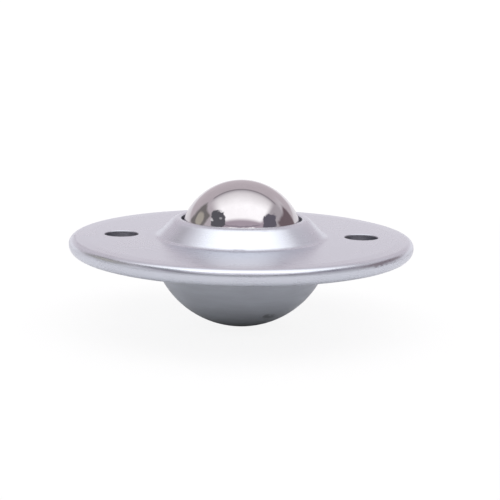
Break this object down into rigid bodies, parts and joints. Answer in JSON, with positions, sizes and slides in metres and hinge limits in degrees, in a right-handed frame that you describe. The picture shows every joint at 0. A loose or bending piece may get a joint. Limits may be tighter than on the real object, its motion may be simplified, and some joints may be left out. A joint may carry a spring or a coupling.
{
  "type": "ball transfer unit",
  "caption": "Flange-mounted ball transfer unit: a large steel ball rolls on small bearing balls inside a domed pressed-steel housing with a raised collar, a rolled rim and screw holes.",
  "frame": {"origin": "middle of the two screw holes, in the plane of the flange's underside, where the folded rim rests on the table", "axes": "+Z along the unit's axis, up out of the ball opening; +X through the screw holes; +Y completes the right-handed frame"},
  "size_m": [0.0706, 0.0706, 0.0302],
  "materials": {
    "cover_zinc": "satin",
    "shell_zinc": "satin",
    "race_steel": "satin",
    "load_ball_chrome": "polished",
    "bearing_steel": "polished"
  },
  "bodies": {
    "housing": {"top_cover": "cover_zinc", "bottom_shell": "shell_zinc", "ball_race": "race_steel"},
    "bearing_balls": {"bearing_ball_0_1": "bearing_steel", "bearing_ball_1_1": "bearing_steel", "bearing_ball_1_2": "bearing_steel", "bearing_ball_1_3": "bearing_steel", "bearing_ball_1_4": "bearing_steel", "bearing_ball_1_5": "bearing_steel", "bearing_ball_1_6": "bearing_steel", "bearing_ball_2_1": "bearing_steel", "bearing_ball_2_2": "bearing_steel", "bearing_ball_2_3": "bearing_steel", "bearing_ball_2_4": "bearing_steel", "bearing_ball_2_5": "bearing_steel", "bearing_ball_2_6": "bearing_steel", "bearing_ball_2_7": "bearing_steel", "bearing_ball_2_8": "bearing_steel", "bearing_ball_2_9": "bearing_steel", "bearing_ball_2_10": "bearing_steel", "bearing_ball_2_11": "bearing_steel", "bearing_ball_2_12": "bearing_steel", "bearing_ball_3_1": "bearing_steel", "bearing_ball_3_2": "bearing_steel", "bearing_ball_3_3": "bearing_steel", "bearing_ball_3_4": "bearing_steel", "bearing_ball_3_5": "bearing_steel", "bearing_ball_3_6": "bearing_steel", "bearing_ball_3_7": "bearing_steel", "bearing_ball_3_8": "bearing_steel", "bearing_ball_3_9": "bearing_steel", "bearing_ball_3_10": "bearing_steel", "bearing_ball_3_11": "bearing_steel", "bearing_ball_3_12": "bearing_steel", "bearing_ball_3_13": "bearing_steel", "bearing_ball_3_14": "bearing_steel", "bearing_ball_3_15": "bearing_steel", "bearing_ball_3_16": "bearing_steel", "bearing_ball_3_17": "bearing_steel", "bearing_ball_row_4": "bearing_steel", "bearing_ball_row_5": "bearing_steel", "bearing_ball_row_6": "bearing_steel"},
    "load_ball": {"load_ball": "load_ball_chrome"}
  },
  "joints": [
    {"name": "bearing_ball_orbit", "type": "hinge", "parent": "housing", "child": "bearing_balls", "pos_m": [0, 0, 0.0023], "axis": [0, 0, 1], "continuous": true},
    {"name": "load_ball_roll", "type": "hinge", "parent": "bearing_balls", "child": "load_ball", "pos_m": [0, 0, 0.0023], "axis": [1, 0, 0], "continuous": true}
  ]
}
